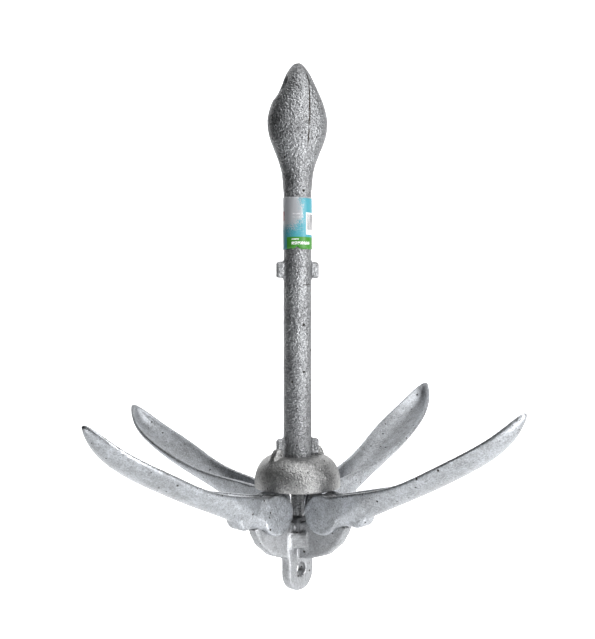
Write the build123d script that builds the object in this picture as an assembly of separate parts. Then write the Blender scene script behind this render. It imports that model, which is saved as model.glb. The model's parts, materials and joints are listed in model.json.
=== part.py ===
"""Folding grapnel anchor with a sliding locking collar, four hinged flukes and a trip-line eye.

Heights are written above the bottom of the trip-line eye. The finished pieces are moved down
so that the origin is the middle of the shackle eye at the top, where the anchor hangs.
"""

from build123d import *
from math import radians, sin, cos, tan
import os

os.makedirs("parts", exist_ok=True)

# Overall sizes. Each fluke's hinge-to-tip line stands at its own angle above the horizontal
# when open, because the stops are as cast.
TOTAL_HEIGHT = 394.0
SHANK_RADIUS = 10.5
FLUKE_LENGTH = 178.0        # straight from the hinge to the tip
SHANK_TURN = 11.0           # of the eye and lugs about the shank, against the flukes' square
FLUKE_AZIMUTHS = {"front_left": 222.5, "front_right": 315.0, "back_right": 47.0, "back_left": 134.0}
OPEN_ANGLES = {"front_left": 26.5, "front_right": 28.5, "back_right": 28.0, "back_left": 21.5}

# Shackle eye and head
EYE_RADIUS = 8.5
EYE_WALL = 9.5
EYE_HEIGHT = TOTAL_HEIGHT - EYE_WALL - EYE_RADIUS
HEAD_HALF_WIDTH = 22.8
HEAD_HALF_DEPTH = 17.0
HEAD_WIDEST_BELOW_TOP = 42.0
HEAD_LENGTH = 96.0

# Lugs on the shank
LUG_REACH = 16.2
LUG_HEIGHT = 12.3
LUG_THICKNESS = 6.0
UPPER_LUG_HEIGHT = 234.0
LUG_CHAMFER = 1.3

# Shank below the collar
STEM_RADIUS = 4.9
STEM_BOTTOM = 56.0
SPIGOT_RADIUS = 3.6
SPIGOT_BOTTOM = 31.0
STEM_CHAMFER = 0.8
NECK_TAPER = 8.0

# Label
LABEL_THICKNESS = 0.15
LABEL_BOTTOM = 255.0
LABEL_HEIGHT = 39.0
LABEL_GAP_ANGLE = 30.0

# Locking collar
COLLAR_RADIUS = 32.3
COLLAR_BOTTOM = 77.4
COLLAR_HEIGHT = 23.6
COLLAR_WALL = 4.2
COLLAR_RIM_HEIGHT = 3.0
COLLAR_TOP_RADIUS = 18.0
COLLAR_TOP_THICKNESS = 8.0
COLLAR_BORE_CLEARANCE = 0.7
KEYWAY_CLEARANCE = 0.7
LUG_SEAT_GAP = 0.3
HORN_TURN = 24.0
HORN_INNER = 15.5
HORN_OUTER = 23.0
HORN_WIDTH = 5.6
HORN_HEIGHT = 6.6

# Crown
WEB_THICKNESS = 8.0
CROWN_BOTTOM = 25.5
CROWN_FLOOR_REACH = 13.0
STOP_ANGLE = 49.0           # from the hinge-to-tip line down to the open stop
HUB_HALF_WIDTH = 11.8
HUB_BOTTOM = 33.5
HUB_TOP = 45.0
POST_BASE_REACH = 10.5
POST_TOP_REACH = 6.9
POST_GAP = 0.6
SPIGOT_CLEARANCE = 0.03
CROWN_PIN_RADIUS = 2.5
CROWN_PIN_HEIGHT = 39.5

# Trip-line eye
TAB_RADIUS = 14.0
TAB_HOLE_RADIUS = 4.9
TAB_HOLE_HEIGHT = 16.0

# Fluke hinge
HINGE_REACH = 29.5
HINGE_HEIGHT = 61.5
CHEEK_RADIUS = 15.0
CHEEK_THICKNESS = 5.15
CHEEK_CLEARANCE = 0.6       # each side of the web
WEB_EYE_RADIUS = 14.2
SLOT_RADIUS = 20.9          # round the hinge, cleared for the web
SHOULDER_CLEARANCE = 0.25
RIVET_RADIUS = 4.0
RIVET_CLEARANCE = 0.06
RIVET_RECESS = 0.3

# Fluke scoop
SCOOP_START = 3.0
SCOOP_HALF_WIDTH = 19.0
SCOOP_DEPTH = 19.0
RIM_SAG = 7.5
RIM_WALL = 2.2
KEEL_WALL = 4.4
TIP_HALF_WIDTH = 1.8
CHEEK_STEP = 0.4            # from the flat cheek in to the scoop's root
CHEEK_LENGTH = 31.0         # of the flat cheek, from the hinge
HOLLOW_OVERCUT = 3.0        # how far the hollow's tool stands above the rims
HEEL_RADIUS = 9.0
HEEL_WIDTH = 15.0
HEEL_ALONG = 27.0

FORK_HALF_WIDTH = WEB_THICKNESS / 2 + CHEEK_CLEARANCE + CHEEK_THICKNESS
FORK_HALF_GAP = WEB_THICKNESS / 2 + CHEEK_CLEARANCE
COLLAR_TOP = COLLAR_BOTTOM + COLLAR_HEIGHT
LOWER_LUG_HEIGHT = COLLAR_TOP + LUG_SEAT_GAP
NECK_TOP = COLLAR_TOP - COLLAR_TOP_THICKNESS - LUG_SEAT_GAP


def side_plate(outline, thickness):
    """A plate standing in the XZ plane, centred on it, from an outline of (reach, height)."""
    return extrude(Plane.XZ * make_face(outline), thickness / 2, both=True)


def head():
    """The bulb at the top of the shank: ellipses stacked from the shank to the crown of the eye."""
    widest = TOTAL_HEIGHT - HEAD_WIDEST_BELOW_TOP
    base = TOTAL_HEIGHT - HEAD_LENGTH
    swell = HEAD_HALF_WIDTH - SHANK_RADIUS
    deepen = HEAD_HALF_DEPTH - SHANK_RADIUS
    levels = [
        (base, SHANK_RADIUS, SHANK_RADIUS),
        (base + 14, SHANK_RADIUS + 0.12 * swell, SHANK_RADIUS + 0.12 * deepen),
        ((base + widest) / 2 + 4, SHANK_RADIUS + 0.58 * swell, SHANK_RADIUS + 0.55 * deepen),
        (widest, HEAD_HALF_WIDTH, HEAD_HALF_DEPTH),
        (EYE_HEIGHT - 9, 0.81 * HEAD_HALF_WIDTH, EYE_RADIUS + EYE_WALL - 0.6),
        (EYE_HEIGHT + 3, 0.54 * HEAD_HALF_WIDTH, EYE_RADIUS + EYE_WALL - 1.6),
        (TOTAL_HEIGHT - 5.5, 0.32 * HEAD_HALF_WIDTH, 0.6 * HEAD_HALF_DEPTH),
        (TOTAL_HEIGHT, 0.13 * HEAD_HALF_WIDTH, 0.28 * HEAD_HALF_DEPTH),
    ]
    rings = [Plane.XY.offset(height) * Ellipse(wide, deep) for height, wide, deep in levels]
    bore = Pos(0, 0, EYE_HEIGHT) * Rot(0, 90, 0) * Cylinder(EYE_RADIUS, 3 * HEAD_HALF_WIDTH)
    return loft(rings) - bore


def lug_pair(height):
    """Two lugs on opposite sides of the shank, rounded at their outer top corners."""
    bar = Box(2 * LUG_REACH, LUG_THICKNESS, LUG_HEIGHT, align=(Align.CENTER, Align.CENTER, Align.MIN))
    corners = bar.edges().filter_by(Axis.Y).group_by(Axis.Z)[-1]
    bar = chamfer(corners, LUG_CHAMFER)
    return Pos(0, 0, height) * bar


def shank():
    """The shank casting, with its head, lugs, stem and spigot."""
    profile = Polyline(
        (0, SPIGOT_BOTTOM),
        (SPIGOT_RADIUS, SPIGOT_BOTTOM),
        (SPIGOT_RADIUS, STEM_BOTTOM),
        (STEM_RADIUS - STEM_CHAMFER, STEM_BOTTOM),
        (STEM_RADIUS, STEM_BOTTOM + STEM_CHAMFER),
        (STEM_RADIUS, NECK_TOP - NECK_TAPER),
        (SHANK_RADIUS, NECK_TOP),
        (SHANK_RADIUS, TOTAL_HEIGHT - HEAD_LENGTH),
        (0, TOTAL_HEIGHT - HEAD_LENGTH),
        close=True,
    )
    rod = revolve(Plane.XZ * make_face(profile), Axis.Z)
    turned = rod + head() + lug_pair(LOWER_LUG_HEIGHT) + lug_pair(UPPER_LUG_HEIGHT)
    return Rot(0, 0, SHANK_TURN) * turned - crown_pin()


def shank_label():
    """The sticker wrapped round the shank, open at the back."""
    outer = Cylinder(SHANK_RADIUS + LABEL_THICKNESS, LABEL_HEIGHT)
    sleeve = outer - Cylinder(SHANK_RADIUS, LABEL_HEIGHT)
    reach = 2 * SHANK_RADIUS
    half = reach * tan(radians(LABEL_GAP_ANGLE / 2))
    wedge = extrude(make_face(Polyline((0, 0), (half, reach), (-half, reach), close=True)),
                    LABEL_HEIGHT, both=True)
    return Pos(0, 0, LABEL_BOTTOM + LABEL_HEIGHT / 2) * (sleeve - wedge)


def dome_profile(radius, top_radius, bottom, top, rim):
    """Half of a dome's section: straight rim, round shoulder, flat top."""
    side = Line((radius, bottom), (radius, bottom + rim))
    shoulder = EllipticalCenterArc(
        (top_radius, bottom + rim), radius - top_radius, top - bottom - rim, start_angle=0, arc_size=90
    )
    top_line = Line((top_radius, top), (0, top))
    closing = Polyline((0, top), (0, bottom), (radius, bottom))
    return revolve(Plane.XZ * make_face([side, shoulder, top_line, closing]), Axis.Z)


def stop_horn():
    """A horn that stops the collar's turn: it stands on the top and runs down the dome as a rib."""
    outline = Polyline(
        (HORN_INNER, COLLAR_TOP - 3),
        (HORN_INNER, COLLAR_TOP + HORN_HEIGHT - 2),
        (HORN_INNER + 2, COLLAR_TOP + HORN_HEIGHT),
        (HORN_OUTER - 2.5, COLLAR_TOP + HORN_HEIGHT - 0.6),
        (HORN_OUTER, COLLAR_TOP + HORN_HEIGHT - 3.5),
        (HORN_OUTER + 3.6, COLLAR_TOP - 4.5),
        (HORN_OUTER, COLLAR_TOP - 7),
        close=True,
    )
    return side_plate(outline, HORN_WIDTH)


def locking_collar():
    """The sliding collar: a hollow dome with a bore, two keyways and two horns."""
    dome = dome_profile(COLLAR_RADIUS, COLLAR_TOP_RADIUS, COLLAR_BOTTOM, COLLAR_TOP, COLLAR_RIM_HEIGHT)
    inner_top = COLLAR_TOP - COLLAR_TOP_THICKNESS
    hollow = dome_profile(
        COLLAR_RADIUS - COLLAR_WALL, COLLAR_TOP_RADIUS - 1, COLLAR_BOTTOM, inner_top, COLLAR_RIM_HEIGHT
    )
    body = dome - hollow
    for turn in (HORN_TURN, HORN_TURN + 180):
        body += Rot(0, 0, turn) * stop_horn()
    bore = Cylinder(SHANK_RADIUS + COLLAR_BORE_CLEARANCE, TOTAL_HEIGHT)
    keyway = Box(2 * (LUG_REACH + KEYWAY_CLEARANCE), LUG_THICKNESS + 2 * KEYWAY_CLEARANCE, TOTAL_HEIGHT)
    body = body - Pos(0, 0, COLLAR_TOP) * (bore + keyway) - hollow
    return Rot(0, 0, SHANK_TURN) * body


def crown_web(open_angle):
    """Half a web of the crown, along X, with its hinge eye and the stop of one open fluke."""
    stop_reach = SLOT_RADIUS - SHOULDER_CLEARANCE
    below = radians(STOP_ANGLE - open_angle)
    reach = HINGE_REACH + stop_reach * cos(below)
    height = HINGE_HEIGHT - stop_reach * sin(below)
    outline = Polyline(
        (0, CROWN_BOTTOM),
        (CROWN_FLOOR_REACH, CROWN_BOTTOM),
        (HINGE_REACH + 1, CROWN_BOTTOM + 6),
        (reach - 7, height - 13),
        (reach - 1.5, height - 4),
        (reach, height),
        (HINGE_REACH, HINGE_HEIGHT),
        (0, HUB_TOP + 4),
        close=True,
    )
    eye = Pos(HINGE_REACH, 0, HINGE_HEIGHT) * Rot(90, 0, 0) * Cylinder(WEB_EYE_RADIUS, WEB_THICKNESS)
    return side_plate(outline, WEB_THICKNESS) + eye


def trip_line_tab():
    """The tab below the crown with the trip-line hole."""
    disc = Pos(0, TAB_RADIUS) * Circle(TAB_RADIUS)
    stem = Pos(0, TAB_RADIUS) * Rectangle(2 * TAB_RADIUS, 2 * TAB_RADIUS, align=(Align.CENTER, Align.MIN))
    hole = Pos(0, TAB_HOLE_HEIGHT) * Circle(TAB_HOLE_RADIUS)
    return extrude(Plane.XZ * (disc + stem - hole), WEB_THICKNESS / 2, both=True)


def crown_hub():
    """The square hub between the webs, and the tapered post that carries the shank's stem."""
    height = HUB_TOP - HUB_BOTTOM
    hub = Pos(0, 0, HUB_BOTTOM + height / 2) * Box(2 * HUB_HALF_WIDTH, 2 * HUB_HALF_WIDTH, height)
    base = Plane.XY.offset(HUB_TOP) * RegularPolygon(POST_BASE_REACH, 4)
    top = Plane.XY.offset(STEM_BOTTOM - POST_GAP) * RegularPolygon(POST_TOP_REACH, 4)
    return hub + loft([base, top])


def upward_bore(radius, bottom):
    """A round tool on the main axis that cuts everything above a height."""
    tool = Cylinder(radius, TOTAL_HEIGHT, align=(Align.CENTER, Align.CENTER, Align.MIN))
    return Pos(0, 0, bottom) * tool


def crown():
    """The crown casting: crossed webs, hub, post and trip-line tab, bored for its pins."""
    body = crown_hub()
    for side, azimuth in FLUKE_AZIMUTHS.items():
        body += Rot(0, 0, azimuth) * crown_web(OPEN_ANGLES[side])
    body += Rot(0, 0, 45) * trip_line_tab()
    body -= upward_bore(SPIGOT_RADIUS + SPIGOT_CLEARANCE, SPIGOT_BOTTOM)
    rivet_bore = Rot(90, 0, 0) * Cylinder(RIVET_RADIUS + RIVET_CLEARANCE, 2 * FORK_HALF_WIDTH)
    for azimuth in FLUKE_AZIMUTHS.values():
        body -= at_hinge(azimuth, rivet_bore)
    return body - crown_pin()


def crown_pin():
    """The cross pin through the hub and the shank's spigot."""
    return Pos(0, 0, CROWN_PIN_HEIGHT) * Rot(90, 0, 0) * Cylinder(CROWN_PIN_RADIUS, 2 * HUB_HALF_WIDTH)


def at_hinge(azimuth, solid):
    """Puts a solid drawn round the origin, reaching along X, at the hinge of one fluke."""
    return Rot(0, 0, azimuth) * Pos(HINGE_REACH, 0, HINGE_HEIGHT) * solid


def scoop_section(along, half_width, keel, rim):
    """One cross-section of the scoop, square to the line from the hinge to the tip."""
    turn = Plane(origin=(along, 0, 0), x_dir=(0, 1, 0), z_dir=(1, 0, 0))
    side = min(half_width, 0.75 * (rim - keel))
    outline = [
        Line((half_width, rim), (-half_width, rim)),
        Line((-half_width, rim), (-half_width, keel + side)),
        ThreePointArc((-half_width, keel + side), (0, keel), (half_width, keel + side)),
        Line((half_width, keel + side), (half_width, rim)),
    ]
    return turn * make_face(outline)


def scoop_stations():
    """Places along the fluke: distance, half width, keel and rim against the hinge-to-tip line."""
    blade = FLUKE_LENGTH - SCOOP_START
    root = FORK_HALF_WIDTH - CHEEK_STEP
    return [
        (SCOOP_START, root, 0.4 - CHEEK_RADIUS, CHEEK_RADIUS - 2.2),
        (SCOOP_START + 0.09 * blade, root, -0.86 * SCOOP_DEPTH, 0.5 * CHEEK_RADIUS),
        (SCOOP_START + 0.24 * blade, root + 3.6, -0.89 * SCOOP_DEPTH, 0.05 * RIM_SAG),
        (SCOOP_START + 0.42 * blade, 0.86 * SCOOP_HALF_WIDTH, -0.97 * SCOOP_DEPTH, -0.8 * RIM_SAG),
        (SCOOP_START + 0.62 * blade, SCOOP_HALF_WIDTH, -SCOOP_DEPTH, -RIM_SAG),
        (SCOOP_START + 0.79 * blade, 0.88 * SCOOP_HALF_WIDTH, -0.92 * SCOOP_DEPTH, -0.95 * RIM_SAG),
        (SCOOP_START + 0.91 * blade, 0.58 * SCOOP_HALF_WIDTH, -0.65 * SCOOP_DEPTH, -0.55 * RIM_SAG),
        (FLUKE_LENGTH, TIP_HALF_WIDTH, -0.14 * SCOOP_DEPTH, 0),
    ]


def cheeks():
    """The flat cheeks round the hinge: a disc, and a plate that runs out along the root."""
    outline = Polyline(
        (0, CHEEK_RADIUS - CHEEK_STEP),
        (0.15 * CHEEK_LENGTH, 0.83 * CHEEK_RADIUS),
        (0.6 * CHEEK_LENGTH, 0.48 * CHEEK_RADIUS),
        (0.95 * CHEEK_LENGTH, 0.22 * CHEEK_RADIUS),
        (CHEEK_LENGTH, -0.2 * CHEEK_RADIUS),
        (0.94 * CHEEK_LENGTH, -0.62 * CHEEK_RADIUS),
        (0, -0.62 * CHEEK_RADIUS),
        close=True,
    )
    disc = Rot(90, 0, 0) * Cylinder(CHEEK_RADIUS, 2 * FORK_HALF_WIDTH)
    return side_plate(outline, 2 * FORK_HALF_WIDTH) + disc


def heel():
    """The rounded lobe under the root of the scoop, which comes down beside the crown's stop."""
    lobe = Rot(90, 0, 0) * Cylinder(HEEL_RADIUS, HEEL_WIDTH)
    lobe = fillet(lobe.edges(), 0.3 * HEEL_RADIUS)
    return Pos(HEEL_ALONG, 0, HEEL_RADIUS - SCOOP_DEPTH - 1) * lobe


def fluke():
    """One fluke round its hinge, with the hinge-to-tip line along X and the scoop upwards."""
    stations = scoop_stations()
    blade = loft([scoop_section(*station) for station in stations])
    hollow = []
    for along, half_width, keel, rim in stations[:-1]:
        wall = RIM_WALL + (CHEEK_THICKNESS - RIM_WALL) * (1 - along / FLUKE_LENGTH) ** 2
        inner = max(half_width - wall, min(FORK_HALF_GAP, half_width - RIM_WALL))
        floor = max(KEEL_WALL * (rim - keel) / (SCOOP_DEPTH - RIM_SAG), RIM_WALL)
        hollow.append(scoop_section(along, inner, keel + min(floor, KEEL_WALL), rim + HOLLOW_OVERCUT))
    tip_wall = TIP_HALF_WIDTH
    end = FLUKE_LENGTH - 3 * TIP_HALF_WIDTH
    hollow.append(scoop_section(end, tip_wall, -tip_wall, HOLLOW_OVERCUT))
    body = blade + heel() + cheeks() - loft(hollow)
    body -= Rot(90, 0, 0) * Cylinder(SLOT_RADIUS, 2 * FORK_HALF_GAP)
    body -= Rot(90, 0, 0) * Cylinder(RIVET_RADIUS, 2 * FORK_HALF_WIDTH)
    return body


def rivet():
    """One hinge rivet, a little below flush with the cheeks it is set in."""
    return Rot(90, 0, 0) * Cylinder(RIVET_RADIUS, 2 * (FORK_HALF_WIDTH - RIVET_RECESS))


def save(name, solid):
    """Writes one piece, moved so that the origin is the middle of the shackle eye."""
    export_step(Pos(0, 0, -EYE_HEIGHT) * solid, f"parts/{name}.step")


def main():
    save("shank", shank())
    save("shank_label", shank_label())
    save("locking_collar", locking_collar())
    save("crown", crown())
    save("crown_pin", crown_pin())
    for side, azimuth in FLUKE_AZIMUTHS.items():
        save(f"fluke_{side}", at_hinge(azimuth, Rot(0, -OPEN_ANGLES[side], 0) * fluke()))
        save(f"rivet_{side}", at_hinge(azimuth, rivet()))


main()
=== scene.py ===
"""Folding grapnel anchor: rounded zinc-coated castings, a wrap-round label and a plain studio."""

from __future__ import annotations

import json
import logging
import math
from dataclasses import dataclass, field
from enum import Enum

import bmesh
import bpy
from mathutils import Matrix, Vector


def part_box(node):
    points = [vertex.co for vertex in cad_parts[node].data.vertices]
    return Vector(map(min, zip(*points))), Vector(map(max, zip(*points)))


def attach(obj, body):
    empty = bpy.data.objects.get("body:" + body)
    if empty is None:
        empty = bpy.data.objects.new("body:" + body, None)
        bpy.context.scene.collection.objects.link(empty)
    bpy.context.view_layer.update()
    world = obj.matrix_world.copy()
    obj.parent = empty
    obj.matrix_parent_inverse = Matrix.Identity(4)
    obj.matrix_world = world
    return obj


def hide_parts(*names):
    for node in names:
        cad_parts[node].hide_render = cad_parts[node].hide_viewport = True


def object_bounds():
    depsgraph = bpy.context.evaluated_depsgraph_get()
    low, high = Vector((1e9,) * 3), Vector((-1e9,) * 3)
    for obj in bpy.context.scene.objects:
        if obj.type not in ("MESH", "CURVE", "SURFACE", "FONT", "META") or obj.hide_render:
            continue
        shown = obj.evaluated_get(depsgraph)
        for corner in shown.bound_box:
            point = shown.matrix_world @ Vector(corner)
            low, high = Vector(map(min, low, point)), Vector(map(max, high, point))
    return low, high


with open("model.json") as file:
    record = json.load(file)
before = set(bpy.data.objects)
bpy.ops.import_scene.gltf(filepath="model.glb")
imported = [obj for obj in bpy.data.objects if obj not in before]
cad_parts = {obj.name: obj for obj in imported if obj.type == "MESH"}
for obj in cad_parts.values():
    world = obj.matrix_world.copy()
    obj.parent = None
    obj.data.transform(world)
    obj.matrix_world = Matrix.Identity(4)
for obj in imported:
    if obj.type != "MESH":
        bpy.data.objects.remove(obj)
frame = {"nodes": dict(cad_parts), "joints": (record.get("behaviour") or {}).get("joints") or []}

CAD_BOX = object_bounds()
MM = 0.001
MERGE = 1e-6
log = logging.getLogger("anchor")


class Side(Enum):
    """Where a fluke stands, seen with the shank upright."""

    FRONT_LEFT = "front_left"
    FRONT_RIGHT = "front_right"
    BACK_LEFT = "back_left"
    BACK_RIGHT = "back_right"


class Body(Enum):
    """The rigid bodies that pieces ride on."""

    ANCHOR = "anchor"
    COLLAR = "collar"


# ---------------------------------------------------------------- shader and geometry graphs


class Sum:
    """A socket that can be used in arithmetic; each operator adds a Math node."""

    def __init__(self, graph: "Graph", socket: bpy.types.NodeSocket) -> None:
        """Wraps a socket.

        Args:
            graph: the graph that new Math nodes go into.
            socket: an output socket that carries one number.
        """
        self.graph = graph
        self.socket = socket

    def _math(self, operation: str, *values: "Sum | float") -> "Sum":
        """Adds a Math node.

        Args:
            operation: the Math node's operation.
            values: its inputs, in order.

        Returns:
            The node's result.
        """
        return self.graph.number("ShaderNodeMath", {"operation": operation}, dict(enumerate(values)))

    def __add__(self, other: "Sum | float") -> "Sum":
        """Self plus other."""
        return self._math("ADD", self, other)

    def __radd__(self, other: float) -> "Sum":
        """Other plus self."""
        return self._math("ADD", other, self)

    def __sub__(self, other: "Sum | float") -> "Sum":
        """Self minus other."""
        return self._math("SUBTRACT", self, other)

    def __rsub__(self, other: float) -> "Sum":
        """Other minus self."""
        return self._math("SUBTRACT", other, self)

    def __mul__(self, other: "Sum | float") -> "Sum":
        """Self times other."""
        return self._math("MULTIPLY", self, other)

    def __rmul__(self, other: float) -> "Sum":
        """Other times self."""
        return self._math("MULTIPLY", other, self)

    def __truediv__(self, other: "Sum | float") -> "Sum":
        """Self divided by other."""
        return self._math("DIVIDE", self, other)

    def power(self, exponent: float) -> "Sum":
        """Self to a power."""
        return self._math("POWER", self, exponent)

    def size(self) -> "Sum":
        """The size of self, without its sign."""
        return self._math("ABSOLUTE", self)

    def least(self, other: "Sum | float") -> "Sum":
        """The smaller of self and other."""
        return self._math("MINIMUM", self, other)

    def most(self, other: "Sum | float") -> "Sum":
        """The larger of self and other."""
        return self._math("MAXIMUM", self, other)

    def angle_from(self, other: "Sum") -> "Sum":
        """The angle of the point (other, self) round the origin, in radians."""
        return self._math("ARCTAN2", self, other)

    def step(self, low: float, high: float) -> "Sum":
        """A smooth step.

        Args:
            low: where the step starts, at 0.
            high: where the step ends, at 1; below low the step falls.

        Returns:
            A number from 0 to 1.
        """
        settings = {"interpolation_type": "SMOOTHSTEP"}
        if low < high:
            inputs = {"Value": self, "From Min": low, "From Max": high, "To Min": 0.0, "To Max": 1.0}
        else:
            inputs = {"Value": self, "From Min": high, "From Max": low, "To Min": 1.0, "To Max": 0.0}
        return self.graph.number("ShaderNodeMapRange", settings, inputs)

    def within(self, low: float, high: float, edge: float) -> "Sum":
        """1 between two limits and 0 outside, with soft edges of a given width."""
        return self.step(low - edge, low + edge) * self.step(high + edge, high - edge)


class Graph:
    """A node tree that is written as expressions."""

    def __init__(self, tree: bpy.types.NodeTree) -> None:
        """Wraps a node tree."""
        self.tree = tree

    def node(self, kind: str, settings: dict | None = None, inputs: dict | None = None) -> bpy.types.Node:
        """Adds a node.

        Args:
            kind: the node's type.
            settings: its attributes, set first.
            inputs: values, sockets or Sums by input name or place.

        Returns:
            The new node.
        """
        made = self.tree.nodes.new(kind)
        for name, value in (settings or {}).items():
            setattr(made, name, value)
        for name, value in (inputs or {}).items():
            self.feed(made.inputs[name], value)
        return made

    def feed(self, socket: bpy.types.NodeSocket, value: object) -> None:
        """Links a socket, or sets its value when it is given one."""
        if isinstance(value, Sum):
            self.tree.links.new(value.socket, socket)
        elif isinstance(value, bpy.types.NodeSocket):
            self.tree.links.new(value, socket)
        else:
            socket.default_value = value

    def number(self, kind: str, settings: dict | None = None, inputs: dict | None = None) -> Sum:
        """Adds a node and returns its first output for arithmetic."""
        return Sum(self, self.node(kind, settings, inputs).outputs[0])


class Shader(Graph):
    """A material's graph, with its Principled shader and Object coordinates."""

    def __init__(self, name: str) -> None:
        """Starts a material of that name."""
        self.material = bpy.data.materials.new(name)
        self.material.use_nodes = True
        super().__init__(self.material.node_tree)
        self.surface = self.tree.nodes["Principled BSDF"]
        self.place = self.node("ShaderNodeTexCoord").outputs["Object"]

    def noise(self, scale: float, detail: float = 3.0, rough: float = 0.5, offset: float = 0.0) -> Sum:
        """Noise between about 0.25 and 0.75.

        Args:
            scale: waves per metre.
            detail: octaves.
            rough: how strong each finer octave is.
            offset: shift along a fourth axis, so that two noises differ.

        Returns:
            The noise as a number.
        """
        settings = {"noise_dimensions": "4D"}
        inputs = {"Vector": self.place, "W": offset, "Scale": scale, "Detail": detail, "Roughness": rough}
        return self.number("ShaderNodeTexNoise", settings, inputs)

    def cells(self, scale: float) -> bpy.types.Node:
        """Voronoi cells on Object coordinates."""
        return self.node("ShaderNodeTexVoronoi", {"feature": "F1"}, {"Vector": self.place, "Scale": scale})

    def axes(self) -> tuple[Sum, Sum, Sum]:
        """Object coordinates as three numbers, in metres."""
        split = self.node("ShaderNodeSeparateXYZ", None, {"Vector": self.place})
        return tuple(Sum(self, out) for out in split.outputs)

    def blend(self, share: Sum, first: object, second: object) -> bpy.types.NodeSocket:
        """Mixes two colours.

        Args:
            share: 0 for the first colour, 1 for the second.
            first: a colour or a socket.
            second: a colour or a socket.

        Returns:
            The mixed colour.
        """
        mixer = self.node("ShaderNodeMix", {"data_type": "RGBA"}, {0: share, 6: first, 7: second})
        return mixer.outputs[2]

    def set(self, **inputs: object) -> None:
        """Sets or links inputs of the Principled shader; an underscore stands for a space."""
        for name, value in inputs.items():
            self.feed(self.surface.inputs[name.replace("_", " ")], value)


# ---------------------------------------------------------------- finishes


# Waves per metre of the zinc's patterns, from broad clouds to the finest crystals
CLOUDS, MOTTLE, PIMPLES, FLECKS, RAGGED = 38.0, 210.0, 620.0, 900.0, 1500.0


@dataclass(frozen=True)
class ZincFinish:
    """Hot-dip zinc on a casting: mottled greys, fine grain, dark pits and small raised pimples."""

    name: str
    bright: tuple = (0.55, 0.56, 0.58, 1.0)
    dull: tuple = (0.27, 0.275, 0.28, 1.0)
    # Dark colour of the pits; the shank also uses it for painted shade along its seam and crease.
    pit_and_seam_shade: tuple = (0.04, 0.036, 0.032, 1.0)
    roughness: float = 0.44
    grain: float = 0.6
    pits_per_metre: float = 210.0
    pitted_share: float = 0.34
    pimples: float = 0.12
    offset: float = 0.0
    smallest_pit: float = 0.07
    pit_spread: float = 0.17

    def material(self) -> bpy.types.Material:
        """Builds the finish.

        Returns:
            The material.
        """
        return self.shader().material

    def shader(self) -> Shader:
        """Builds the finish's graph, so that a casting can add its own marks."""
        s = Shader(self.name)
        clouds = s.noise(CLOUDS, 4.0, 0.6, self.offset)
        mottle = s.noise(MOTTLE, 5.0, 0.65, self.offset + 3.0)
        fleck = s.noise(FLECKS, 3.0, 0.7, self.offset + 7.0)
        tone = (clouds * 0.35 + mottle * 0.35 + fleck * 0.7).step(0.50, 0.90)
        pits = self._pits(s)
        zinc = s.blend(tone, self.dull, self.bright)
        colour = s.blend(pits, zinc, self.pit_and_seam_shade)
        roughness = self.roughness + 0.26 * (mottle - 0.5) - 0.16 * (fleck - 0.5) + 0.4 * pits
        pimple = s.noise(PIMPLES, 1.0, 0.5, self.offset + 13.0)
        height = 0.22 * mottle + 0.2 * fleck - 0.5 * pits + self.pimples * 2.0 * pimple
        bump = s.node("ShaderNodeBump", None, {"Strength": self.grain, "Distance": 0.0012, "Height": height})
        s.set(Base_Color=colour, Roughness=roughness, Metallic=1.0 - 0.7 * pits, Normal=bump.outputs[0])
        s.surface.inputs["Specular IOR Level"].default_value = 0.5
        return s

    def _pits(self, s: Shader) -> Sum:
        """Sparse dark pits of uneven size, as a mask."""
        cells = s.cells(self.pits_per_metre)
        split = s.node("ShaderNodeSeparateColor", None, {"Color": cells.outputs["Color"]})
        chosen = Sum(s, split.outputs[0]).step(1.0 - self.pitted_share, 1.02 - self.pitted_share)
        reach = self.smallest_pit + self.pit_spread * Sum(s, split.outputs[1]).power(2.5)
        ragged = 0.08 * (s.noise(RAGGED, 2.0, 0.6, self.offset) - 0.5)
        distance = Sum(s, cells.outputs["Distance"]) + ragged
        return chosen * (distance / reach).step(1.15, 0.65)


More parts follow.
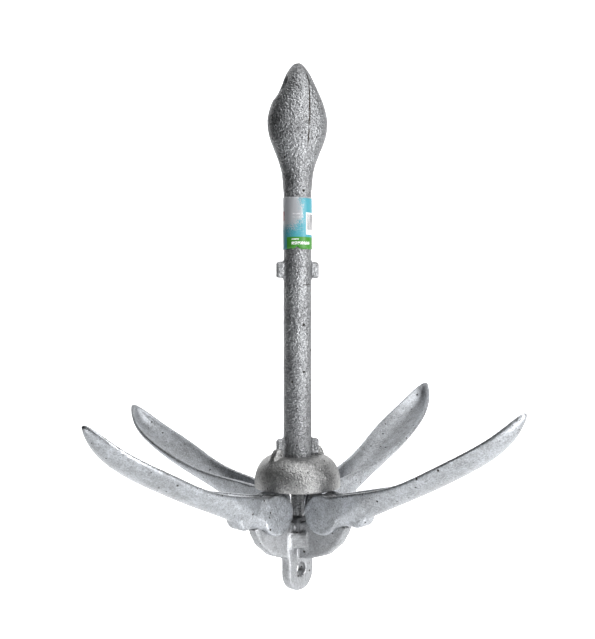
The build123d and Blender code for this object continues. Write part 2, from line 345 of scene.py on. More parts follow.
@dataclass(frozen=True)
class LabelFinish:
    """Printed film: blue fading to silver, a green band with plain light bars, a pale bar-code panel."""

    name: str
    facing: float
    bottom: float
    height: float
    blue: tuple = (0.06, 0.30, 0.37, 1.0)
    deep: tuple = (0.04, 0.20, 0.25, 1.0)
    silver: tuple = (0.40, 0.41, 0.43, 1.0)
    green: tuple = (0.045, 0.23, 0.02, 1.0)
    pale: tuple = (0.80, 0.80, 0.80, 1.0)
    red: tuple = (0.22, 0.015, 0.02, 1.0)
    panel_turn: tuple = (0.62, 1.75)
    panel_up: tuple = (0.28, 0.70)
    spot_turn: tuple = (-1.75, -1.1)
    spot_up: tuple = (0.55, 0.73)
    band_turn: tuple = (-0.82, 2.4)
    band_up: tuple = (-0.2, 0.235)
    soft_side: float = 0.02
    soft_edge: float = 0.008

    def material(self) -> bpy.types.Material:
        """Builds the film.

        Returns:
            The material.
        """
        s = Shader(self.name)
        x, y, z = s.axes()
        ahead = (math.cos(self.facing), math.sin(self.facing))
        turn = (y * ahead[0] - x * ahead[1]).angle_from(x * ahead[0] + y * ahead[1])
        up = (z - self.bottom) / self.height
        speck = s.noise(1300.0, 2.0, 0.7)
        drift = s.noise(160.0, 3.0, 0.6, 2.0)
        silvered = (turn - 1.4 * (drift - 0.5)).step(0.95, -0.35) * up.step(0.15, 0.75)
        silvered = (silvered + 2.2 * (speck - 0.5) * turn.within(-1.1, 0.7, 0.4)).step(0.25, 0.65)
        silvered = silvered.most(up.step(0.965, 0.985))
        ground = s.blend(turn.step(-0.4, -1.1), self.blue, self.deep)
        film = s.blend(silvered, ground, self.silver)
        film = s.blend(self._band(turn, up), film, self.green)
        film = s.blend(self._letters(s, turn, up), film, self.pale)
        panel = turn.within(*self.panel_turn, self.soft_side) * up.within(*self.panel_up, self.soft_edge)
        film = s.blend(panel, film, self.pale)
        spot = turn.within(*self.spot_turn, 0.04) * up.within(*self.spot_up, 0.02)
        film = s.blend(spot * drift.step(0.35, 0.5), film, self.red)
        bump = s.node("ShaderNodeBump", None, {"Strength": 0.35, "Distance": 0.0008,
                                               "Height": 0.5 * drift + 0.25 * speck})
        s.set(Base_Color=film, Roughness=0.30 + 0.25 * speck, Metallic=0.2 * silvered, Normal=bump.outputs[0])
        return s.material

    def _band(self, turn: Sum, up: Sum) -> Sum:
        """The green band along the lower edge."""
        return turn.within(*self.band_turn, self.soft_side) * up.within(*self.band_up, self.soft_edge)

    @staticmethod
    def _letters(s: Shader, turn: Sum, up: Sum) -> Sum:
        """Plain dashes that stand in for small print."""
        dashes = s.noise(1100.0, 0.0, 0.5, 5.0).step(0.44, 0.50)
        wide = turn.within(-0.42, 0.95, 0.03) * up.within(0.09, 0.145, 0.008)
        small = turn.within(-0.42, 0.1, 0.03) * up.within(0.18, 0.20, 0.004)
        rows = up.within(0.66, 0.685, 0.006) + up.within(0.60, 0.615, 0.006)
        lines = turn.within(-0.35, 0.35, 0.05) * rows
        return dashes * (wide + small + 0.6 * lines).least(1.0)


@dataclass(frozen=True)
class InkFinish:
    """Dark grey print of the bar-code's bars."""

    name: str = "bar_ink"
    ink: tuple = (0.16, 0.16, 0.17, 1.0)
    worn: tuple = (0.30, 0.30, 0.31, 1.0)

    def material(self) -> bpy.types.Material:
        """Builds the ink.

        Returns:
            The material.
        """
        s = Shader(self.name)
        wear = s.noise(1800.0, 3.0, 0.6)
        s.set(Base_Color=s.blend(wear.step(0.45, 0.65), self.ink, self.worn), Roughness=0.35 + 0.3 * wear)
        return s.material


# ---------------------------------------------------------------- geometry trees


class Recipe(Graph):
    """A Geometry Nodes tree with named inputs."""

    def __init__(self, name: str) -> None:
        """Starts a tree that takes and gives one geometry."""
        self.group = bpy.data.node_groups.new(name, "GeometryNodeTree")
        super().__init__(self.group)
        self.group.interface.new_socket("Geometry", in_out="INPUT", socket_type="NodeSocketGeometry")
        self.group.interface.new_socket("Geometry", in_out="OUTPUT", socket_type="NodeSocketGeometry")
        self.enter = self.node("NodeGroupInput")
        self.leave = self.node("NodeGroupOutput")
        self.identifiers: dict[str, str] = {}

    def ask(self, name: str, kind: str = "NodeSocketFloat") -> bpy.types.NodeSocket:
        """Adds a named input.

        Args:
            name: the input's name.
            kind: its socket type.

        Returns:
            The socket inside the tree that carries it.
        """
        item = self.group.interface.new_socket(name, in_out="INPUT", socket_type=kind)
        self.identifiers[name] = item.identifier
        return self.enter.outputs[name]

    def start(self) -> bpy.types.NodeSocket:
        """The geometry that comes in."""
        return self.enter.outputs["Geometry"]

    def end(self, geometry: bpy.types.NodeSocket, material: bpy.types.NodeSocket) -> None:
        """Realizes instances, sets the material and gives the geometry."""
        real = self.node("GeometryNodeRealizeInstances", None, {"Geometry": geometry})
        dressed = self.node("GeometryNodeSetMaterial", None,
                            {"Geometry": real.outputs[0], "Material": material})
        self.feed(self.leave.inputs["Geometry"], dressed.outputs[0])

    def cook(self, source: bpy.types.Object, name: str, values: dict[str, object]) -> bpy.types.Object:
        """Runs the tree on an object.

        Args:
            source: the object whose mesh goes in; it is left as it was.
            name: the new object's name.
            values: the inputs by name.

        Returns:
            A new object with a plain mesh.
        """
        modifier = source.modifiers.new("recipe", "NODES")
        modifier.node_group = self.group
        for key, value in values.items():
            modifier[self.identifiers[key]] = value
        made = plain_mesh(source, name)
        source.modifiers.remove(modifier)
        return made


# Waves per metre of a casting's broad lumps and of its grain, and how far a calm stretch is smoothed
LUMPS, GRAIN, CALMING = 75.0, 420.0, 0.75


class CastSkin(Recipe):
    """Rounds a casting's corners and gives its surface the lumps and pits of a zinc-dipped casting."""

    def __init__(self) -> None:
        """Builds the tree."""
        super().__init__("cast_skin")
        rounds = self.ask("Rounding", "NodeSocketInt")
        lump = self.ask("Lump Height")
        grain = self.ask("Grain Height")
        low = self.ask("Calm From")
        high = self.ask("Calm To")
        seed = self.ask("Seed")
        material = self.ask("Material", "NodeSocketMaterial")
        place = self.node("GeometryNodeInputPosition").outputs[0]
        soft = self.node("GeometryNodeBlurAttribute", {"data_type": "FLOAT_VECTOR"},
                         {"Value": place, "Iterations": rounds, "Weight": 1.0})
        rounded = self.node("GeometryNodeSetPosition", None,
                            {"Geometry": self.start(), "Position": soft.outputs[0]})
        swell = self._noise(place, seed, LUMPS, 2.0) * Sum(self, lump)
        swell = swell + self._noise(place, seed, GRAIN, 3.0) * Sum(self, grain)
        height = Sum(self, self.node("ShaderNodeSeparateXYZ", None, {"Vector": place}).outputs[2])
        above = self._compare(height, low, "GREATER_THAN")
        below = self._compare(height, high, "LESS_THAN")
        calm = 1.0 - CALMING * (above * below)
        normal = self.node("GeometryNodeInputNormal").outputs[0]
        shift = self.node("ShaderNodeVectorMath", {"operation": "SCALE"},
                          {"Vector": normal, "Scale": swell * calm})
        moved = self.node("GeometryNodeSetPosition", None,
                          {"Geometry": rounded.outputs[0], "Offset": shift.outputs[0]})
        smooth = self.node("GeometryNodeSetShadeSmooth", None, {"Geometry": moved.outputs[0]})
        self.end(smooth.outputs[0], material)

    def _noise(self, place: object, seed: object, scale: float, detail: float) -> Sum:
        """Noise about zero, at a scale per metre."""
        inputs = {"Vector": place, "W": seed, "Scale": scale, "Detail": detail}
        return self.number("ShaderNodeTexNoise", {"noise_dimensions": "4D"}, inputs) - 0.5

    def _compare(self, value: Sum, limit: object, how: str) -> Sum:
        """1 where the comparison holds."""
        return self.number("ShaderNodeMath", {"operation": how}, {0: value, 1: limit})


# A bead's length and height, as shares of its width
BEAD_LENGTH, BEAD_HEIGHT = 1.25, 0.45


class ZincBeads(Recipe):
    """Scatters small flattened beads of set zinc over a casting."""

    def __init__(self) -> None:
        """Builds the tree."""
        super().__init__("zinc_beads")
        density = self.ask("Beads Per Square Metre")
        small = self.ask("Smallest")
        large = self.ask("Largest")
        seed = self.ask("Seed", "NodeSocketInt")
        material = self.ask("Material", "NodeSocketMaterial")
        spread = self.node("GeometryNodeDistributePointsOnFaces", None,
                           {"Mesh": self.start(), "Density": density, "Seed": seed})
        ball = self.node("GeometryNodeMeshIcoSphere", None, {"Radius": 1.0, "Subdivisions": 2})
        smooth = self.node("GeometryNodeSetShadeSmooth", None, {"Geometry": ball.outputs[0]})
        pick = self.node("FunctionNodeRandomValue", {"data_type": "FLOAT"},
                         {2: small, 3: large, "Seed": seed})
        size = Sum(self, pick.outputs[1])
        scale = self.node("ShaderNodeCombineXYZ", None,
                          {0: size, 1: size * BEAD_LENGTH, 2: size * BEAD_HEIGHT})
        placed = self.node("GeometryNodeInstanceOnPoints", None,
                           {"Points": spread.outputs["Points"], "Instance": smooth.outputs[0],
                            "Rotation": spread.outputs["Rotation"], "Scale": scale.outputs[0]})
        self.end(placed.outputs[0], material)


BAR_DEPTH = 0.05 * MM


class LabelBars(Recipe):
    """Stands thin upright bars side by side round the shank."""

    def __init__(self) -> None:
        """Builds the tree."""
        super().__init__("label_bars")
        count = self.ask("Count", "NodeSocketInt")
        radius = self.ask("Radius")
        first = self.ask("First Angle")
        pitch = self.ask("Angle Step")
        height = self.ask("Bar Height")
        middle = self.ask("Middle Height")
        thin = self.ask("Thin")
        thick = self.ask("Thick")
        seed = self.ask("Seed", "NodeSocketInt")
        material = self.ask("Material", "NodeSocketMaterial")
        points = self.node("GeometryNodeMeshLine", {"mode": "OFFSET"}, {"Count": count})
        index = Sum(self, self.node("GeometryNodeInputIndex").outputs[0])
        angle = Sum(self, first) + index * Sum(self, pitch)
        across = self.number("ShaderNodeMath", {"operation": "COSINE"}, {0: angle}) * Sum(self, radius)
        along = self.number("ShaderNodeMath", {"operation": "SINE"}, {0: angle}) * Sum(self, radius)
        spot = self.node("ShaderNodeCombineXYZ", None, {0: across, 1: along, 2: middle})
        ring = self.node("GeometryNodeSetPosition", None,
                         {"Geometry": points.outputs[0], "Position": spot.outputs[0]})
        pick = self.node("FunctionNodeRandomValue", {"data_type": "FLOAT"}, {2: thin, 3: thick, "Seed": seed})
        bar = self.node("GeometryNodeMeshCube", None, {"Size": (1.0, 1.0, 1.0)})
        turn = self.node("ShaderNodeCombineXYZ", None, {2: angle})
        scale = self.node("ShaderNodeCombineXYZ", None, {0: BAR_DEPTH, 1: pick.outputs[1], 2: height})
        placed = self.node("GeometryNodeInstanceOnPoints", None,
                           {"Points": ring.outputs[0], "Instance": bar.outputs[0],
                            "Rotation": turn.outputs[0], "Scale": scale.outputs[0]})
        self.end(placed.outputs[0], material)


# ---------------------------------------------------------------- mesh helpers


def plain_mesh(source: bpy.types.Object, name: str) -> bpy.types.Object:
    """Makes a plain object from another with its modifiers applied.

    Args:
        source: the object to evaluate.
        name: the new object's name.

    Returns:
        The new object, at the origin, with no modifiers.
    """
    bpy.context.view_layer.update()
    evaluated = source.evaluated_get(bpy.context.evaluated_depsgraph_get())
    mesh = bpy.data.meshes.new_from_object(evaluated)
    mesh.name = name
    made = bpy.data.objects.new(name, mesh)
    bpy.context.scene.collection.objects.link(made)
    return made


def discard(thing: bpy.types.Object) -> None:
    """Removes a working object."""
    bpy.data.objects.remove(thing, do_unlink=True)


def joined_copy(nodes: list[str], name: str, extras: list[bmesh.types.BMesh]) -> bpy.types.Object:
    """Copies CAD nodes and extra solids into one object.

    Args:
        nodes: the CAD nodes.
        name: the new object's name.
        extras: further closed solids in the same frame.

    Returns:
        The object, with doubles merged.
    """
    whole = bmesh.new()
    for node in nodes:
        part = bmesh.new()
        part.from_mesh(frame["nodes"][node].data)
        bmesh.ops.remove_doubles(part, verts=part.verts, dist=MERGE)
        pour(part, whole)
    for extra in extras:
        pour(extra, whole)
    mesh = bpy.data.meshes.new(name)
    whole.to_mesh(mesh)
    whole.free()
    made = bpy.data.objects.new(name, mesh)
    bpy.context.scene.collection.objects.link(made)
    return made


def pour(source: bmesh.types.BMesh, target: bmesh.types.BMesh) -> None:
    """Adds one working mesh to another and frees the first."""
    scratch = bpy.data.meshes.new("scratch")
    source.to_mesh(scratch)
    target.from_mesh(scratch)
    source.free()
    bpy.data.meshes.remove(scratch)


MOUTH_SIDES = 48


def mouth_disc(centre: Vector, axis: Vector, radius: float, skin: float) -> bmesh.types.BMesh:
    """A thin disc that closes the mouth of a bore.

    Args:
        centre: the middle of the disc.
        axis: the bore's direction.
        radius: the disc's radius.
        skin: its thickness.

    Returns:
        A new working mesh.
    """
    disc = bmesh.new()
    bmesh.ops.create_cone(disc, cap_ends=True, segments=MOUTH_SIDES,
                          radius1=radius, radius2=radius, depth=skin)
    turn = axis.to_track_quat("Z", "Y").to_matrix().to_4x4()
    bmesh.ops.transform(disc, matrix=Matrix.Translation(centre) @ turn, verts=disc.verts)
    return disc


def hinge(body: str) -> tuple[Vector, Vector]:
    """The place and axis of a body's joint, from the frame."""
    joint = next(j for j in frame["joints"] if j["child"] == body)
    return Vector(joint["pos_m"]), Vector(joint["axis"]).normalized()


def finish_piece(piece: bpy.types.Object, body: str) -> None:
    """Fixes a piece to a body."""
    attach(piece, body)
    log.info("%s rides on %s with %d faces", piece.name, body, len(piece.data.polygons))


# ---------------------------------------------------------------- pieces


@dataclass
class Foundry:
    """The shared trees and finishes that every casting uses."""

    skin: CastSkin = field(default_factory=CastSkin)
    beads: ZincBeads = field(default_factory=ZincBeads)


@dataclass
class Casting:
    """One zinc-dipped casting that stands for a CAD node."""

    node: str
    body: str
    finish: ZincFinish
    foundry: Foundry
    voxel: float = 0.8 * MM
    rounding: int = 5
    lump: float = 0.7 * MM
    grain: float = 0.28 * MM
    beads: float = 1100.0
    bead_sizes: tuple[float, float] = (0.25 * MM, 0.65 * MM)
    seed: int = 1
    calm: tuple[float, float] = (9.0, 9.0)

    def extras(self) -> list[bmesh.types.BMesh]:
        """Further solids that belong to the casting."""
        return []

    def material(self) -> bpy.types.Material:
        """The casting's finish."""
        return self.finish.material()

    def build(self) -> bpy.types.Object:
        """Makes the casting and its beads.

        Returns:
            The casting.
        """
        rough = joined_copy([self.node], "rough_" + self.node, self.extras())
        remesh = rough.modifiers.new("even", "REMESH")
        remesh.mode = "VOXEL"
        remesh.voxel_size = self.voxel
        even = plain_mesh(rough, "even_" + self.node)
        material = self.material()
        piece = self.foundry.skin.cook(even, self.node + "_casting", {
            "Rounding": self.rounding, "Lump Height": self.lump, "Grain Height": self.grain,
            "Calm From": self.calm[0], "Calm To": self.calm[1],
            "Seed": float(self.seed), "Material": material})
        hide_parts(self.node)
        finish_piece(piece, self.body)
        if self.beads > 0:
            self._add_beads(piece, material)
        discard(rough)
        discard(even)
        return piece

    def _add_beads(self, piece: bpy.types.Object, material: bpy.types.Material) -> None:
        """Scatters beads of zinc over the casting as a piece of their own."""
        beads = self.foundry.beads.cook(piece, self.node + "_zinc_beads", {
            "Beads Per Square Metre": self.beads, "Smallest": self.bead_sizes[0],
            "Largest": self.bead_sizes[1], "Seed": self.seed, "Material": material})
        finish_piece(beads, self.body)


@dataclass
class Shank(Casting):
    """The shank, with painted shade along the parting line down its head and round a crease."""

    parting_turn: float = math.radians(-64.0)
    parting_top: float = 12.0 * MM
    parting_bottom: float = -44.0 * MM
    parting_width: tuple[float, float] = (0.055, 0.02)
    crease: float = -147.0 * MM
    crease_width: tuple[float, float] = (0.9 * MM, 0.3 * MM)
    crease_waver: float = 7.0 * MM

    def material(self) -> bpy.types.Material:
        """Zinc with painted shade along the parting line's groove and round a crease.

        Returns:
            The material.
        """
        s = self.finish.shader()
        x, y, z = s.axes()
        turn = y.angle_from(x)
        # Painted shade: a dark, broken line down the parting seam stands in for the shade in its groove, and
        # a dark ring stands in for the shade in a crease.
        wander = 0.16 * (s.noise(60.0, 3.0, 0.6, 11.0) - 0.5)
        line = (turn - self.parting_turn + wander).size().step(*self.parting_width)
        line = line * z.within(self.parting_bottom, self.parting_top, 4 * MM)
        line = line * s.noise(140.0, 2.0, 0.5, 17.0).step(0.34, 0.5)
        waver = self.crease_waver * (s.noise(70.0, 2.0, 0.5, 5.0) - 0.5)
        ring = (z - self.crease + waver).size().step(*self.crease_width)
        ring = ring * s.noise(120.0, 2.0, 0.5, 23.0).step(0.48, 0.56)
        painted_groove_shade = (line + 0.75 * ring).least(1.0)
        plain = s.surface.inputs["Base Color"].links[0].from_socket
        s.set(Base_Color=s.blend(painted_groove_shade, plain, self.finish.pit_and_seam_shade))
        return s.material


@dataclass
class Crown(Casting):
    """The crossed webs; the cross pin's ends are dipped over."""

    skin: float = 1.0 * MM
    mouth: float = 0.6

    def extras(self) -> list[bmesh.types.BMesh]:
        """Discs that close the mouths of the cross pin's bore."""
        low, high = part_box("crown_pin")
        centre = (low + high) / 2
        radius = self.mouth * (high - low).z
        reach = (high - low).y / 2 - self.skin / 2
        axis = Vector((0.0, 1.0, 0.0))
        return [mouth_disc(centre + axis * way * reach, axis, radius, self.skin) for way in (-1, 1)]


@dataclass
class Fluke(Casting):
    """One scoop fluke; its hinge rivet is dipped over, so a thin skin closes each bore."""

    side: Side = Side.FRONT_LEFT
    skin: float = 1.3 * MM
    mouth: float = 0.52
    fork_reach: float = 14.0 * MM

    def rivet(self) -> str:
        """The name of the fluke's hinge rivet."""
        return "rivet_" + self.side.value

    def extras(self) -> list[bmesh.types.BMesh]:
        """Discs that close the mouths of the rivet's bore."""
        place, axis = hinge(self.body)
        low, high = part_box(self.rivet())
        span = (high - low).z
        reach = self._half_width(place, axis) - self.skin / 2
        radius = self.mouth * span
        return [mouth_disc(place + axis * way * reach, axis, radius, self.skin) for way in (-1, 1)]

    def _half_width(self, place: Vector, axis: Vector) -> float:
        """Half the width of the fork along the hinge's axis."""
        corners = frame["nodes"][self.node].data.vertices
        near = [v.co for v in corners if (v.co - place).length < self.fork_reach]
        return max(abs((co - place).dot(axis)) for co in near)


@dataclass
class DippedRivet:
    """A hinge rivet or pin, under the zinc: a turned body with rounded ends."""

    node: str
    body: str
    finish: ZincFinish
    inset: float
    axis: Vector
    shrink: float = 0.08 * MM
    crown: tuple = ((0.0, 0.0), (0.6, 0.05 * MM), (0.9, 0.35 * MM), (1.0, 1.0 * MM))
    sides: int = 40

    def build(self) -> bpy.types.Object:
        """Makes the rivet from the box of its CAD node.

        Returns:
            The rivet.
        """
        low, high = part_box(self.node)
        centre = (low + high) / 2
        radius = (high - low).z / 2
        half = max(abs((v.co - centre).dot(self.axis)) for v in frame["nodes"][self.node].data.vertices)
        return self._turned(centre, self.axis, radius, half)

    def _turned(self, centre: Vector, axis: Vector, radius: float, half: float) -> bpy.types.Object:
        """Spins the rivet's outline round its axis."""
        body = bmesh.new()
        reach = half - self.inset
        size = radius - self.shrink
        outline = [(share * size, reach - drop) for share, drop in self.crown] + [(size, 0.0)]
        outline += [(r, -h) for r, h in reversed(outline[:-1])]
        ring = [body.verts.new((r, 0.0, h)) for r, h in outline]
        edges = [body.edges.new(pair) for pair in zip(ring, ring[1:])]
        bmesh.ops.spin(body, geom=ring + edges, cent=(0, 0, 0), axis=(0, 0, 1), angle=2 * math.pi,
                       steps=self.sides, use_merge=True)
        bmesh.ops.remove_doubles(body, verts=body.verts, dist=MERGE)
        bmesh.ops.recalc_face_normals(body, faces=body.faces)
        turn = axis.to_track_quat("Z", "Y").to_matrix().to_4x4()
        bmesh.ops.transform(body, matrix=Matrix.Translation(centre) @ turn, verts=body.verts)
        mesh = bpy.data.meshes.new(self.node + "_dipped")
        body.to_mesh(mesh)
        body.free()
        mesh.shade_smooth()
        mesh.materials.append(self.finish.material())
        piece = bpy.data.objects.new(self.node + "_dipped", mesh)
        bpy.context.scene.collection.objects.link(piece)
        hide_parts(self.node)
        finish_piece(piece, self.body)
        return piece


@dataclass
class ShankLabel:
    """The printed film round the shank, with uneven edges, and the bars of its bar-code panel."""

    finish: LabelFinish
    ink: InkFinish
    radius: float
    low: float
    high: float
    facing: float
    lift: float = 0.22 * MM
    film: float = 0.12 * MM
    wrap: float = math.radians(334.0)
    columns: int = 220
    rows: int = 24

    def edge(self, turn: float, top: bool) -> float:
        """How far an edge is torn in at an angle, in metres."""
        wave = 0.5 + 0.5 * math.sin(3.1 * turn + (1.0 if top else 2.6))
        nick = max(0.0, math.sin(11.0 * turn + 0.7) - 0.55)
        torn = max(0.0, 1.0 - abs(turn + 0.05) / 0.16)
        return (0.5 * wave + 0.9 * nick) * MM + (0.0 if top else 1.6 * MM * torn)

    def build(self) -> bpy.types.Object:
        """Makes the film and its bars.

        Returns:
            The film.
        """
        shape = bmesh.new()
        grid = []
        for column in range(self.columns + 1):
            turn = self.wrap * (column / self.columns - 0.5)
            bottom = self.low + self.edge(turn, False)
            top = self.high - self.edge(turn, True)
            grid.append([self._point(shape, turn, bottom + (top - bottom) * row / self.rows)
                         for row in range(self.rows + 1)])
        for left, right in zip(grid, grid[1:]):
            for row in range(self.rows):
                shape.faces.new((left[row], right[row], right[row + 1], left[row + 1]))
        mesh = bpy.data.meshes.new("shank_label_film")
        shape.to_mesh(mesh)
        shape.free()
        mesh.shade_smooth()
        mesh.materials.append(self.finish.material())
        flat = bpy.data.objects.new("flat_label", mesh)
        bpy.context.scene.collection.objects.link(flat)
        wall = flat.modifiers.new("film", "SOLIDIFY")
        wall.thickness = self.film
        wall.offset = 1.0
        piece = plain_mesh(flat, "shank_label_film")
        discard(flat)
        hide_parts("shank_label")
        finish_piece(piece, Body.ANCHOR.value)
        self._bars(piece)
        return piece

    def _point(self, shape: bmesh.types.BMesh, turn: float, height: float) -> bmesh.types.BMVert:
        """A point on the film, at an angle from the front."""
        angle = self.facing + turn
        reach = self.radius + self.lift + 0.05 * MM * math.sin(9 * turn) * math.sin(height / (4 * MM))
        return shape.verts.new((reach * math.cos(angle), reach * math.sin(angle), height))

    def _bars(self, film: bpy.types.Object) -> None:
        """Stands the bars on the pale panel."""
        span = self.high - self.low
        bars = LabelBars().cook(film, "shank_label_bars", {
            "Count": 19, "Radius": self.radius + self.lift + self.film + 0.03 * MM,
            "First Angle": self.facing + 0.72, "Angle Step": 0.052,
            "Bar Height": 0.30 * span, "Middle Height": self.low + 0.52 * span,
            "Thin": 0.12 * MM, "Thick": 0.42 * MM, "Seed": 4, "Material": self.ink.material()})
        finish_piece(bars, Body.ANCHOR.value)


# ---------------------------------------------------------------- studio


@dataclass
class Studio:
    """A plain pale floor and backdrop, soft lights and the camera."""

    camera_turn: float = math.radians(-94.5)
    distance: float = 697.5 * MM
    eye_level: float = -167.5 * MM
    dip: float = math.radians(-0.46)
    view_angle: float = math.radians(35.5)
    floor_drop: float = 230.0 * MM
    floor_half_width: float = 4.0
    floor_ahead: float = 3.0
    floor_behind: float = 1.2
    floor_bend: float = 1.0
    backdrop_height: float = 4.0
    surround: float = 0.055

    def build(self) -> None:
        """Sets the floor, the lights and the camera."""
        self._floor()
        self._dark_card()
        self._lights()
        self._camera()
        self._world()

    def _spot(self, turn_degrees: float, distance: float, height: float) -> Vector:
        """A place seen from the camera's side.

        Args:
            turn_degrees: to the camera's right when positive, 0 at the camera.
            distance: from the shank, in metres.
            height: above the middle of the anchor, in metres.

        Returns:
            The place in the frame.
        """
        angle = self.camera_turn + math.radians(turn_degrees)
        middle = (CAD_BOX[0][2] + CAD_BOX[1][2]) / 2
        return Vector((distance * math.cos(angle), distance * math.sin(angle), middle + height))

    def _floor(self) -> None:
        """A pale floor that curves up into a backdrop."""
        shape = bmesh.new()
        level = CAD_BOX[0][2] - self.floor_drop
        back = Vector((-math.cos(self.camera_turn), -math.sin(self.camera_turn), 0.0))
        across = Vector((-back.y, back.x, 0.0))
        bend, behind = self.floor_bend, self.floor_behind
        outline = [(-self.floor_ahead, 0.0), (behind, 0.0)]
        outline += [(behind + bend * math.sin(a), bend * (1 - math.cos(a)))
                    for a in (math.radians(7.5 * i) for i in range(1, 13))]
        outline.append((behind + bend, self.backdrop_height))
        rows = [[shape.verts.new(back * run + across * wide + Vector((0, 0, level + rise)))
                 for wide in (-self.floor_half_width, self.floor_half_width)] for run, rise in outline]
        for low, high in zip(rows, rows[1:]):
            shape.faces.new((low[0], low[1], high[1], high[0]))
        bmesh.ops.recalc_face_normals(shape, faces=shape.faces)
        mesh = bpy.data.meshes.new("studio_floor")
        shape.to_mesh(mesh)
        shape.free()
        mesh.shade_smooth()
        s = Shader("pale_floor")
        far = s.axes()[1].step(0.05, 0.50)
        glow = s.blend(far, (0.34, 0.35, 0.36, 1.0), (1.0, 1.0, 1.0, 1.0))
        s.set(Base_Color=(0.9, 0.9, 0.9, 1.0), Roughness=0.9, Emission_Color=glow, Emission_Strength=0.97)
        mesh.materials.append(s.material)
        floor = bpy.data.objects.new("studio_floor", mesh)
        bpy.context.scene.collection.objects.link(floor)

    def _dark_card(self) -> None:
        """A dark card on the left, out of the camera's sight, that shades the shank's left flank."""
        shape = bmesh.new()
        middle = self._spot(-82.0, 0.42, 0.10)
        away = self._spot(-82.0, 1.0, 0.10) - middle
        across = Vector((-away.y, away.x, 0.0)).normalized()
        corners = [(-0.40, -0.27), (0.40, -0.27), (0.40, 0.32), (-0.40, 0.32)]
        shape.faces.new([shape.verts.new(middle + across * wide + Vector((0, 0, rise)))
                         for wide, rise in corners])
        mesh = bpy.data.meshes.new("dark_card")
        shape.to_mesh(mesh)
        shape.free()
        s = Shader("card_black")
        s.set(Base_Color=(0.01, 0.01, 0.01, 1.0), Roughness=1.0)
        mesh.materials.append(s.material)
        card = bpy.data.objects.new("dark_card", mesh)
        card.visible_camera = False
        bpy.context.scene.collection.objects.link(card)

    def _area(self, name: str, spot: Vector, size: tuple[float, float], power: float, aim: Vector) -> None:
        """Adds a soft rectangular light that faces a point."""
        lamp = bpy.data.lights.new(name, "AREA")
        lamp.shape = "RECTANGLE"
        lamp.size, lamp.size_y = size
        lamp.energy = power
        holder = bpy.data.objects.new(name, lamp)
        holder.location = spot
        holder.rotation_euler = (aim - spot).to_track_quat("-Z", "Y").to_euler()
        bpy.context.scene.collection.objects.link(holder)

    def _lights(self) -> None:
        """Key from the right, two low fills, a high front light and one overhead."""
        aim = self._spot(0.0, 0.0, -0.05)
        self._area("key", self._spot(52.0, 1.2, 0.15), (0.45, 0.9), 12.0, aim)
        self._area("fill", self._spot(-38.0, 0.95, -0.42), (0.4, 0.2), 1.8, aim)
        self._area("low right", self._spot(42.0, 0.95, -0.48), (0.4, 0.2), 6.5, aim)
        self._area("top", self._spot(30.0, 0.95, 0.95), (0.8, 0.8), 5.0, aim)
        self._area("overhead", self._spot(20.0, 0.3, 1.05), (1.0, 1.0), 7.5, aim)

    def _camera(self) -> None:
        """The camera, almost level, a little below the middle of the shank."""
        data = bpy.data.cameras.new("camera")
        data.sensor_fit = "HORIZONTAL"
        data.angle = self.view_angle
        camera = bpy.data.objects.new("camera", data)
        camera.location = (self.distance * math.cos(self.camera_turn),
                           self.distance * math.sin(self.camera_turn), self.eye_level)
        camera.rotation_euler = (math.pi / 2 + self.dip, 0.0, self.camera_turn + math.pi / 2)
        bpy.context.scene.collection.objects.link(camera)
        bpy.context.scene.camera = camera

    def _world(self) -> None:
        """An even surround: dim as a light, pale where it shows past the floor."""
        world = bpy.data.worlds.new("surround")
        world.use_nodes = True
        sky = world.node_tree.nodes["Background"]
        sky.inputs["Color"].default_value = (0.9, 0.93, 1.0, 1.0)
        seen = world.node_tree.nodes.new("ShaderNodeLightPath")
        strength = world.node_tree.nodes.new("ShaderNodeMapRange")
        strength.inputs["To Min"].default_value = self.surround
        strength.inputs["To Max"].default_value = 1.0
        world.node_tree.links.new(strength.inputs["Value"], seen.outputs["Is Camera Ray"])
        world.node_tree.links.new(sky.inputs["Strength"], strength.outputs["Result"])
        bpy.context.scene.world = world
        bpy.context.scene.view_settings.view_transform = "Standard"


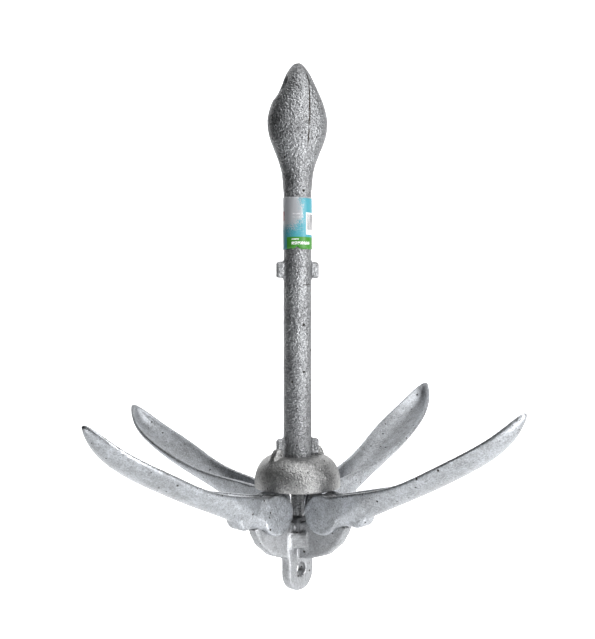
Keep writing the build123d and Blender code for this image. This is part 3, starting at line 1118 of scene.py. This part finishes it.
def main() -> None:
    """Builds every piece in order, then the studio."""
    logging.basicConfig(level=logging.INFO)
    studio = Studio()
    foundry = Foundry()
    anchor = Body.ANCHOR.value
    label_low, label_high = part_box("shank_label")
    radius = (label_high.x - label_low.x) / 2 - 0.15 * MM
    shank_finish = ZincFinish("zinc_shank", bright=(0.42, 0.43, 0.44, 1.0), dull=(0.15, 0.15, 0.155, 1.0),
                              grain=1.0, pimples=0.5, offset=1.0)
    Shank("shank", anchor, shank_finish, foundry, seed=2, rounding=3, lump=0.5 * MM, grain=0.34 * MM,
          calm=(label_low.z - 1 * MM, label_high.z + 1 * MM)).build()
    Crown("crown", anchor, ZincFinish("zinc_crown", offset=2.0), foundry, seed=3, lump=0.4 * MM).build()
    collar_finish = ZincFinish("zinc_collar", bright=(0.48, 0.48, 0.475, 1.0), dull=(0.17, 0.17, 0.17, 1.0),
                               roughness=0.46, grain=0.8, pits_per_metre=320.0, pitted_share=0.5,
                               pimples=0.3, offset=4.0)
    Casting("locking_collar", Body.COLLAR.value, collar_finish, foundry, seed=5, rounding=3,
            lump=0.15 * MM, grain=0.10 * MM).build()
    for number, side in enumerate(Side):
        back = side in (Side.BACK_LEFT, Side.BACK_RIGHT)
        finish = ZincFinish("zinc_fluke_" + side.value, roughness=0.50 if back else 0.36, grain=0.7,
                            bright=(0.60, 0.625, 0.66, 1.0), dull=(0.24, 0.245, 0.25, 1.0),
                            pits_per_metre=240.0, pitted_share=0.55,
                            offset=10.0 + number)
        body = "fluke_" + side.value
        Fluke(body, body, finish, foundry, seed=10 + number, lump=0.5 * MM, grain=0.10 * MM,
              side=side).build()
        DippedRivet("rivet_" + side.value, body, finish, 1.6 * MM, hinge(body)[1]).build()
    pin_finish = ZincFinish("zinc_pin", offset=30.0)
    DippedRivet("crown_pin", anchor, pin_finish, 1.3 * MM, Vector((0.0, 1.0, 0.0))).build()
    label = LabelFinish("label_film", studio.camera_turn, label_low.z, label_high.z - label_low.z)
    ShankLabel(label, InkFinish(), radius, label_low.z, label_high.z, studio.camera_turn).build()
    studio.build()


if __name__ == "__main__":
    main()
